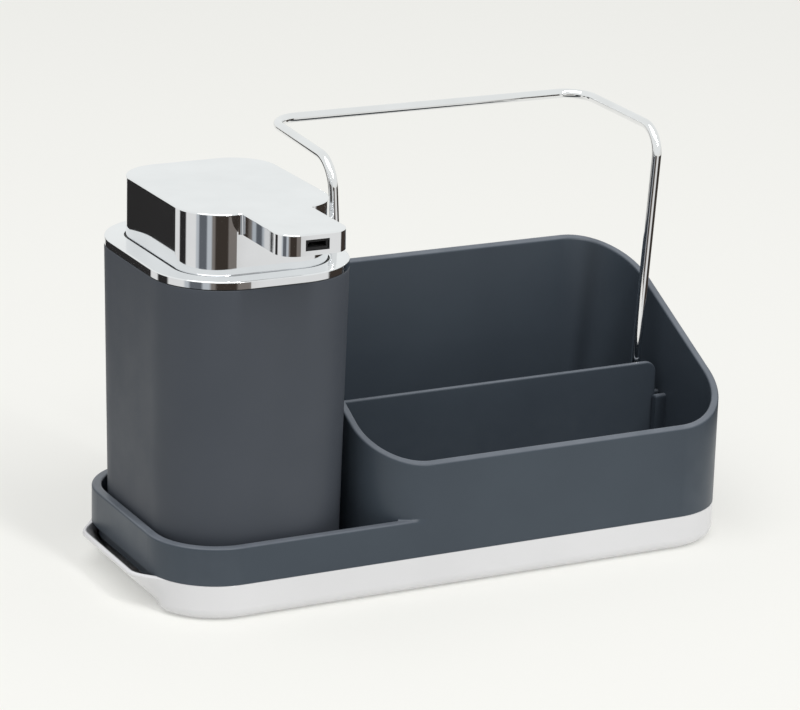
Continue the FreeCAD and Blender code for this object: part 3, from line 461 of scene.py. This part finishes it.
def joined(*stretches):
    """A profile of arcs with straight runs between them."""
    profile = list(stretches[0])
    for stretch in stretches[1:]:
        profile += run(profile[-1], stretch[0])
        profile += stretch
    return profile


def rounded_rim(wall, edge, top):
    """Two small rounds over a wall, from its outer side to its inner side."""
    outer = arc(Vector((-edge, top - edge)), edge, 0, QUARTER, EDGE_STEPS)
    inner = arc(Vector((edge - wall, top - edge)), edge, QUARTER, 2 * QUARTER, EDGE_STEPS)
    return outer + inner


def inner_round(side, floor):
    """The round between a wall's inner side and the floor."""
    middle = Vector((side - INNER_ROUND, floor + INNER_ROUND))
    return arc(middle, INNER_ROUND, 0, -QUARTER, EDGE_STEPS)


def plain_profile(height):
    """The tray's wall from under its foot round the rim to its floor: outwards and up."""
    foot = arc(Vector((-TRAY_ROUND, TRAY_ROUND)), TRAY_ROUND, -QUARTER, 0, ROUND_STEPS)
    return joined(foot, rounded_rim(TRAY_WALL, TRAY_EDGE, height), inner_round(-TRAY_WALL, TRAY_FLOOR))


def lip_profile(height, reach):
    """The same rings through the middle of the lip, which leans out from the foot to a rolled rim."""
    roll = LIP_WALL / 2
    along = Vector((math.cos(LIP_LEAN), math.sin(LIP_LEAN)))
    inwards = Vector((-math.sin(LIP_LEAN), math.cos(LIP_LEAN)))
    rim_middle = Vector((reach - roll, height - roll))
    foot_middle = rim_middle + inwards * (LIP_ROUND - roll)
    foot_middle -= along * (foot_middle.y - LIP_ROUND) / along.y
    foot = arc(foot_middle, LIP_ROUND, -QUARTER, LIP_LEAN - QUARTER, ROUND_STEPS)
    rim = arc(rim_middle, roll, LIP_LEAN - QUARTER, LIP_LEAN + QUARTER, 2 * EDGE_STEPS + 1)
    inside_middle = rim_middle + inwards * (roll + INNER_ROUND)
    inside_middle -= along * (inside_middle.y - TRAY_FLOOR - INNER_ROUND) / along.y
    inside = arc(inside_middle, INNER_ROUND, LIP_LEAN - QUARTER, -QUARTER, EDGE_STEPS)
    return joined(foot, rim, inside)


def lip_share(point, up):
    """How much of the lip shows at a point of the outline, and at a height as a share of the wall's.

    It is all in the left end's middle and none past its ends; its foot goes on further towards the back.
    """
    if point.x > 0:
        return 0
    further = LIP_FOOT_FURTHER * (1 - up) if point.y > 0 else 0
    share = (LIP_END + further - abs(point.y)) / (LIP_END - LIP_FULL)
    share = min(max(share, 0), 1)
    return share * share * (3 - 2 * share)


def mesh_of_rings(name, rings):
    """A closed mesh through rings of points, from a flat underside to a flat floor inside."""
    builder = bmesh.new()
    loops = [[builder.verts.new(point) for point in ring] for ring in rings]
    count = len(loops[0])
    for lower, upper in zip(loops, loops[1:]):
        for index in range(count):
            after = (index + 1) % count
            builder.faces.new((lower[index], lower[after], upper[after], upper[index]))
    builder.faces.new(reversed(loops[0]))
    builder.faces.new(loops[-1])
    for face in builder.faces:
        face.smooth = len(face.verts) == 4
    return mesh_from(builder, name)


def make_drip_tray():
    """A tray whose rings change from the plain wall to the lip at its left end."""
    low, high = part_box("drip_tray")
    half_length = high[0]
    height = high[2]
    outline = rounded_outline(Vector((0, 0)), half_length, high[1], TRAY_CORNER)
    rings = []
    for plain, lip in zip(plain_profile(height), lip_profile(height, -low[0] - half_length)):
        ring = []
        for point, outwards in outline:
            share = lip_share(point, plain.y / height)
            place = (point + outwards * plain.x).lerp(point - Vector((lip.x, 0)), share)
            ring.append((place.x, place.y, plain.y + (lip.y - plain.y) * share))
        rings.append(ring)
    tray = new_object("moulded_tray", mesh_of_rings("moulded_tray", rings), WHITE)
    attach(tray, "tray")
    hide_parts("drip_tray")


def make_bottle():
    """An open bottle whose sides draw in a little towards its foot."""
    low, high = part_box("bottle")
    middle = Vector(((low[0] + high[0]) / 2, (low[1] + high[1]) / 2))
    outline = rounded_outline(middle, (high[0] - low[0]) / 2, (high[1] - low[1]) / 2, BOTTLE_CORNER)
    foot_middle = Vector((-BOTTLE_DRAW - BOTTLE_EDGE, low[2] + BOTTLE_EDGE))
    foot = arc(foot_middle, BOTTLE_EDGE, -QUARTER, 0, EDGE_STEPS)
    mouth = rounded_rim(BOTTLE_WALL, BOTTLE_EDGE, high[2])
    profile = joined(foot, mouth, inner_round(-BOTTLE_DRAW - BOTTLE_WALL, low[2] + BOTTLE_FLOOR))
    rings = []
    for step in profile:
        ring = [point + outwards * step.x for point, outwards in outline]
        rings.append([(place.x, place.y, step.y) for place in ring])
    bottle = new_object("soap_bottle", mesh_of_rings("soap_bottle", rings), BOTTLE_GREY)
    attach(bottle, "dispenser")
    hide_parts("bottle")


# Pieces that follow a path: the wire rail and the return spring.

def new_path_tree(name, sizes):
    """A node tree with a path in, a mesh out and named sizes: the tree, its way in and its way out."""
    tree = bpy.data.node_groups.new(name, "GeometryNodeTree")
    tree.interface.new_socket("Path", in_out="INPUT", socket_type="NodeSocketGeometry")
    for size in sizes:
        tree.interface.new_socket(size, in_out="INPUT", socket_type="NodeSocketFloat")
    tree.interface.new_socket("Mesh", in_out="OUTPUT", socket_type="NodeSocketGeometry")
    entry = add_node(tree, "NodeGroupInput")
    leave = add_node(tree, "NodeGroupOutput")
    return tree, entry, leave


def drawn_wire(tree, path, thickness, sides, material, leave):
    """Round wire along a path, closed at its ends, to the tree's way out."""
    half = add_node(tree, "ShaderNodeMath", operation="MULTIPLY")
    half.inputs[1].default_value = 0.5
    tree.links.new(thickness, half.inputs[0])
    section = add_node(tree, "GeometryNodeCurvePrimitiveCircle")
    section.inputs["Resolution"].default_value = sides
    tree.links.new(half.outputs["Value"], section.inputs["Radius"])
    wire = add_node(tree, "GeometryNodeCurveToMesh")
    wire.inputs["Fill Caps"].default_value = True
    tree.links.new(path, wire.inputs["Curve"])
    tree.links.new(section.outputs["Curve"], wire.inputs["Profile Curve"])
    real = add_node(tree, "GeometryNodeRealizeInstances")
    tree.links.new(wire.outputs["Mesh"], real.inputs["Geometry"])
    finish = add_node(tree, "GeometryNodeSetMaterial")
    finish.inputs["Material"].default_value = material
    tree.links.new(real.outputs["Geometry"], finish.inputs["Geometry"])
    tree.links.new(finish.outputs["Geometry"], leave.inputs["Mesh"])


def run_tree(name, mesh, tree, sizes, material):
    """The plain mesh that a tree makes of a path, as an object."""
    path = shown(name + "_path", mesh)
    modifier = path.modifiers.new(name, "NODES")
    modifier.node_group = tree
    for socket in tree.interface.items_tree:
        if socket.in_out == "INPUT" and socket.name in sizes:
            modifier[socket.identifier] = sizes[socket.name]
    evaluated = path.evaluated_get(bpy.context.evaluated_depsgraph_get())
    made = bpy.data.meshes.new_from_object(evaluated)
    bpy.data.objects.remove(path)
    made.name = name
    made.materials.clear()
    for face in made.polygons:
        face.use_smooth = len(face.vertices) == 4
    return new_object(name, made, material)


RAIL_WIRE = 4 * MM
RAIL_BEND = 12 * MM
RAIL_FOOT_BEND = 30 * MM
RAIL_FOOT_HALF_SPAN = 67.1 * MM
RAIL_TOP_HALF_SPAN = 74.6 * MM
RAIL_BAR_HALF_SPAN = 72.9 * MM
RAIL_TAIL = 16 * MM
RAIL_TILT = 2.6 * MM
RAIL_SIDES = 32
RAIL_BEND_STEPS = 24


def rail_route():
    """The wire's corners, from foot to foot, as a mesh of edges that holds the bend at each."""
    low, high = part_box("cloth_rail")
    radius = RAIL_WIRE / 2
    middle = (low[0] + high[0]) / 2
    front = low[1] + radius
    back = high[1] - radius
    foot = low[2]
    bar = high[2] - radius
    half_route = [(RAIL_FOOT_HALF_SPAN, front, foot, 0),
                  (RAIL_FOOT_HALF_SPAN, front, foot + RAIL_TAIL, RAIL_FOOT_BEND),
                  (RAIL_TOP_HALF_SPAN, front, bar - RAIL_TILT, RAIL_BEND),
                  (RAIL_BAR_HALF_SPAN, back, bar, RAIL_BEND)]
    corners = [(middle - x, y, z, bend) for x, y, z, bend in half_route]
    corners += [(middle + x, y, z, bend) for x, y, z, bend in reversed(half_route)]
    mesh = bpy.data.meshes.new("rail_route")
    mesh.from_pydata([corner[:3] for corner in corners],
                     [(index, index + 1) for index in range(len(corners) - 1)], [])
    bends = mesh.attributes.new("bend", "FLOAT", "POINT")
    for index, corner in enumerate(corners):
        bends.data[index].value = corner[3]
    return mesh


def make_cloth_rail():
    """The rail: one wire along its route, bent at each corner."""
    tree, entry, leave = new_path_tree("bent_wire_rail", ["wire diameter"])
    curve = add_node(tree, "GeometryNodeMeshToCurve")
    tree.links.new(entry.outputs["Path"], curve.inputs["Mesh"])
    bend = add_node(tree, "GeometryNodeInputNamedAttribute", data_type="FLOAT")
    bend.inputs["Name"].default_value = "bend"
    bent = add_node(tree, "GeometryNodeFilletCurve", mode="POLY")
    bent.inputs["Count"].default_value = RAIL_BEND_STEPS
    tree.links.new(curve.outputs["Curve"], bent.inputs["Curve"])
    tree.links.new(bend.outputs["Attribute"], bent.inputs["Radius"])
    drawn_wire(tree, bent.outputs["Curve"], entry.outputs["wire diameter"], RAIL_SIDES, CHROMED_WIRE, leave)
    rail = run_tree("bent_rail", rail_route(), tree, {"wire diameter": RAIL_WIRE}, CHROMED_WIRE)
    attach(rail, "rail")
    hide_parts("cloth_rail")


SPRING_WIRE = 0.9 * MM
SPRING_TURNS = 8
SPRING_SIDES = 10
SPRING_TURN_STEPS = 40


def make_return_spring():
    """The spring round the stem: a coil of steel wire that moves with the pump."""
    low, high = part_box("return_spring")
    outside = (high[0] - low[0]) / 2
    length = high[2] - low[2]
    sizes = {"wire diameter": SPRING_WIRE, "coil radius": outside - SPRING_WIRE / 2,
             "coil length": length - SPRING_WIRE, "turns": SPRING_TURNS}
    tree, entry, leave = new_path_tree("wound_spring", sizes)
    coil = add_node(tree, "GeometryNodeCurveSpiral")
    coil.inputs["Resolution"].default_value = SPRING_TURN_STEPS
    tree.links.new(entry.outputs["turns"], coil.inputs["Rotations"])
    tree.links.new(entry.outputs["coil radius"], coil.inputs["Start Radius"])
    tree.links.new(entry.outputs["coil radius"], coil.inputs["End Radius"])
    tree.links.new(entry.outputs["coil length"], coil.inputs["Height"])
    drawn_wire(tree, coil.outputs["Curve"], entry.outputs["wire diameter"], SPRING_SIDES, STEEL, leave)
    spring = run_tree("coiled_spring", bpy.data.meshes.new("spring_start"), tree, sizes, STEEL)
    centre = Vector(((low[0] + high[0]) / 2, (low[1] + high[1]) / 2, low[2] + SPRING_WIRE / 2))
    spring.data.transform(Matrix.Translation(centre))
    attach(spring, "pump")
    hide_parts("return_spring")
    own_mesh(spring)


# Studio

def add_camera():
    """The photograph's camera."""
    ahead = Vector((-math.sin(CAMERA_TURN) * math.cos(CAMERA_TILT),
                    math.cos(CAMERA_TURN) * math.cos(CAMERA_TILT), -math.sin(CAMERA_TILT)))
    level = Vector((math.cos(CAMERA_TURN), math.sin(CAMERA_TURN), 0))
    upright = level.cross(ahead)
    side = level * math.cos(CAMERA_ROLL) + upright * math.sin(CAMERA_ROLL)
    up = upright * math.cos(CAMERA_ROLL) - level * math.sin(CAMERA_ROLL)
    lens = bpy.data.cameras.new("photo_camera")
    lens.lens = CAMERA_LENS
    lens.sensor_width = CAMERA_SENSOR
    lens.sensor_fit = "HORIZONTAL"
    lens.clip_start = CAMERA_NEAREST
    lens.clip_end = CAMERA_FURTHEST
    camera = shown("photo_camera", lens)
    turn = Matrix((side, up, -ahead)).transposed().to_4x4()
    camera.matrix_world = Matrix.Translation(CAMERA_PLACE) @ turn
    bpy.context.scene.camera = camera


def mirrored_rays(tree, rays):
    """One where a ray comes off a mirror or through glass, nought elsewhere."""
    either = add_node(tree, "ShaderNodeMath", operation="MAXIMUM")
    tree.links.new(rays.outputs["Is Glossy Ray"], either.inputs[0])
    tree.links.new(rays.outputs["Is Transmission Ray"], either.inputs[1])
    return either.outputs["Value"]


def add_sky():
    """Even, soft light from all round, shown pale to the camera and to chrome."""
    world = bpy.data.worlds.new("studio_sky")
    bpy.context.scene.world = world
    world.use_nodes = True
    tree = world.node_tree
    tree.nodes.clear()
    output = add_node(tree, "ShaderNodeOutputWorld")
    rays = add_node(tree, "ShaderNodeLightPath")
    soft = add_node(tree, "ShaderNodeBackground")
    soft.inputs["Color"].default_value = opaque(SKY_COLOUR)
    soft.inputs["Strength"].default_value = SKY_LEVEL
    mirrored = add_node(tree, "ShaderNodeBackground")
    mirrored.inputs["Color"].default_value = opaque(SKY_IN_CHROME)
    seen = add_node(tree, "ShaderNodeBackground")
    seen.inputs["Color"].default_value = opaque(STUDIO_PALE)
    first = add_node(tree, "ShaderNodeMixShader")
    second = add_node(tree, "ShaderNodeMixShader")
    tree.links.new(mirrored_rays(tree, rays), first.inputs["Fac"])
    tree.links.new(soft.outputs["Background"], first.inputs[1])
    tree.links.new(mirrored.outputs["Background"], first.inputs[2])
    tree.links.new(rays.outputs["Is Camera Ray"], second.inputs["Fac"])
    tree.links.new(first.outputs["Shader"], second.inputs[1])
    tree.links.new(seen.outputs["Background"], second.inputs[2])
    tree.links.new(second.outputs["Shader"], output.inputs["Surface"])


def add_lamp(name, place, width, length, power, colour):
    """A rectangular lamp that looks at the frame's origin."""
    lamp = bpy.data.lights.new(name, "AREA")
    lamp.shape = "RECTANGLE"
    lamp.size = width
    lamp.size_y = length
    lamp.energy = power
    lamp.color = colour
    holder = shown(name, lamp)
    holder.location = place
    holder.rotation_euler = place.to_track_quat("Z", "Y").to_euler()


def add_lamps():
    """The tall lamp in front and the broad one overhead."""
    towards_key = Vector((math.sin(KEY_TURN) * math.cos(KEY_HEIGHT),
                          -math.cos(KEY_TURN) * math.cos(KEY_HEIGHT), math.sin(KEY_HEIGHT)))
    add_lamp("key_lamp", towards_key * KEY_AWAY, KEY_WIDTH, KEY_LENGTH, KEY_POWER, KEY_COLOUR)
    add_lamp("top_lamp", TOP_PLACE, TOP_WIDTH, TOP_WIDTH, TOP_POWER, TOP_COLOUR)


def add_floor():
    """A sheet of paper that takes the shadow, in part a plain glow where the camera or chrome sees it."""
    builder = bmesh.new()
    corners = [(-1, -1), (1, -1), (1, 1), (-1, 1)]
    builder.faces.new([builder.verts.new((x * FLOOR_HALF, y * FLOOR_HALF, -FLOOR_DROP)) for x, y in corners])
    material, tree, surface = new_material("paper_floor")
    paper = add_node(tree, "ShaderNodeBsdfPrincipled")
    fibre = between(tree, cloudy(tree, piece_space(tree), scale=900, detail=3), low=0, high=1)
    tree.links.new(shades(tree, fibre, FLOOR_COLOUR, STUDIO_PALE), paper.inputs["Base Color"])
    paper.inputs["Roughness"].default_value = 0.95
    paper.inputs["Specular IOR Level"].default_value = 0.05
    glow = add_node(tree, "ShaderNodeEmission")
    glow.inputs["Color"].default_value = opaque(STUDIO_PALE)
    rays = add_node(tree, "ShaderNodeLightPath")
    seen = add_node(tree, "ShaderNodeMath", operation="MAXIMUM")
    tree.links.new(rays.outputs["Is Camera Ray"], seen.inputs[0])
    tree.links.new(mirrored_rays(tree, rays), seen.inputs[1])
    share = add_node(tree, "ShaderNodeMath", operation="MULTIPLY")
    share.inputs[1].default_value = FLOOR_GLOW
    tree.links.new(seen.outputs["Value"], share.inputs[0])
    mixed = add_node(tree, "ShaderNodeMixShader")
    tree.links.new(share.outputs["Value"], mixed.inputs["Fac"])
    tree.links.new(paper.outputs["BSDF"], mixed.inputs[1])
    tree.links.new(glow.outputs["Emission"], mixed.inputs[2])
    tree.links.new(mixed.outputs["Shader"], surface)
    material.cycles.emission_sampling = "NONE"
    floor = new_object("studio_floor", mesh_from(builder, "studio_floor"), material)


def card_glow():
    """A glow in the cards' own tones, which lights nothing by itself."""
    material, tree, surface = new_material("card_glow")
    tone = add_node(tree, "ShaderNodeAttribute", attribute_name="tone")
    glow = add_node(tree, "ShaderNodeEmission")
    tree.links.new(tone.outputs["Color"], glow.inputs["Color"])
    tree.links.new(glow.outputs["Emission"], surface)
    material.cycles.emission_sampling = "NONE"
    return material


def card_tone(angle):
    """The mean tone of the cards that lie within a blend of an angle."""
    tone = Vector((0, 0, 0))
    covered = 0
    for start, end, name in CARDS:
        share = max(min(angle + CARD_BLEND, end) - max(angle - CARD_BLEND, start), 0)
        tone += CARD_TONES[name] * share
        covered += share
    return tone / covered


def add_cards():
    """Standing cards that give the chrome something dark and pale to mirror."""
    first = CARDS[0][0]
    last = CARDS[-1][1]
    points = []
    tones = []
    for angle in range(first, last + 1, CARD_STEP):
        turn = math.radians(angle)
        place = CARD_MIDDLE + Vector((math.cos(turn), math.sin(turn))) * CARD_RADIUS
        points += [(place.x, place.y, 0), (place.x, place.y, CARD_HEIGHT)]
        tones += [card_tone(angle)] * 2
    mesh = bpy.data.meshes.new("studio_cards")
    faces = [(foot + 2, foot, foot + 1, foot + 3) for foot in range(0, len(points) - 2, 2)]
    mesh.from_pydata(points, [], faces)
    colours = mesh.color_attributes.new("tone", "FLOAT_COLOR", "POINT")
    for colour, tone in zip(colours.data, tones):
        colour.color = opaque(tone)
    cards = new_object("studio_cards", mesh, card_glow())
    cards.visible_camera = False
    cards.visible_diffuse = False
    cards.visible_transmission = False
    cards.visible_shadow = False


bpy.context.scene.view_settings.view_transform = "Standard"
add_camera()
add_sky()
add_lamps()
add_floor()
add_cards()
finish_cad_nodes()
make_drip_tray()
make_bottle()
make_cloth_rail()
make_return_spring()
